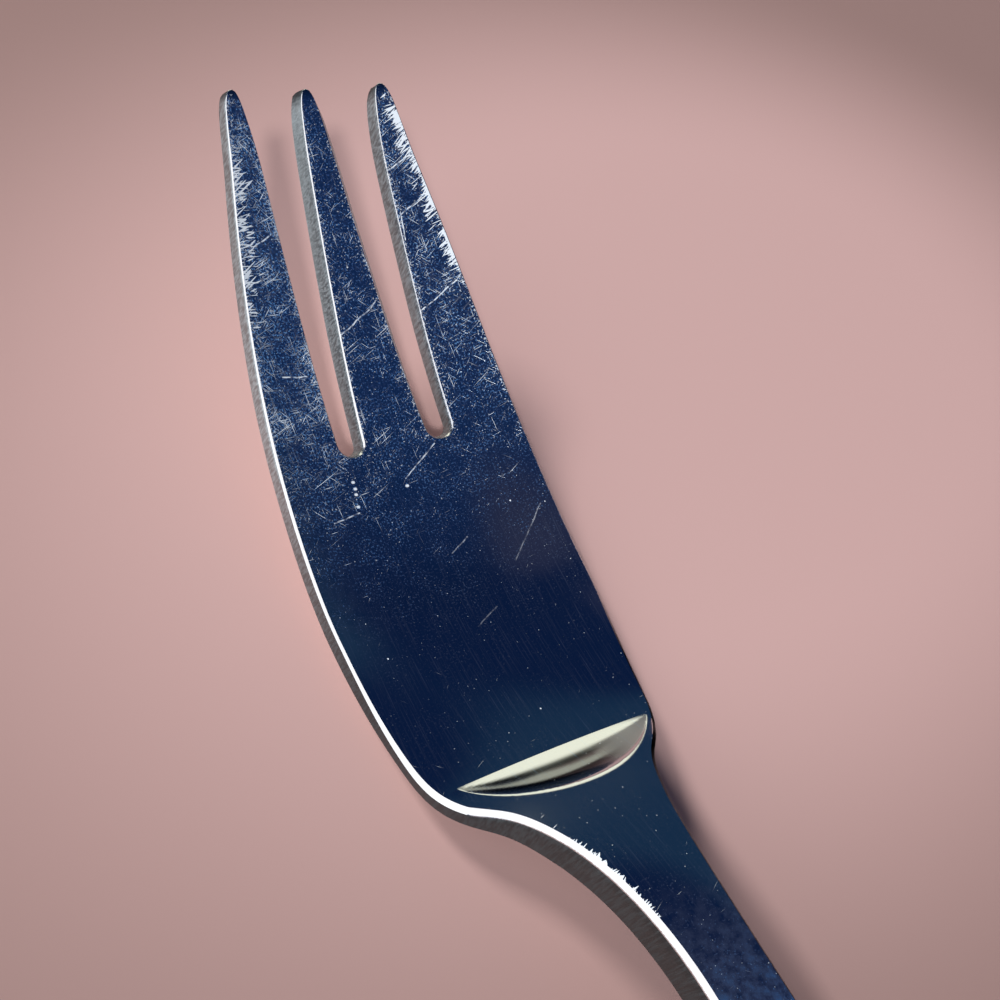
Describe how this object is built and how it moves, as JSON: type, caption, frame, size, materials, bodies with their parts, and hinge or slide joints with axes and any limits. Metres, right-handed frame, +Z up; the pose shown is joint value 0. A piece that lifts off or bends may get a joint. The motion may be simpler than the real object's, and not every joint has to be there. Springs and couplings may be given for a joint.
{
  "type": "salad fork",
  "caption": "Small table fork with short pointed tines, a dished palm, a raised heel step, a slim arched neck and a rounded hollow handle.",
  "frame": {"origin": "middle of the fork's length and width, on the table that it rests on", "axes": "+Y along the fork towards the tine tips, +Z up out of the dished side, X across"},
  "size_m": [0.0256, 0.1673, 0.0199],
  "materials": {
    "polished_steel": "polished stainless steel, worn with fine scratches",
    "pressed_steel": "polished pressed stainless steel",
    "cement": "rough cement"
  },
  "bodies": {
    "root": {"fork_head": "polished_steel", "handle_front_shell": "pressed_steel", "handle_back_shell": "pressed_steel", "handle_filler": "cement"}
  },
  "joints": []
}
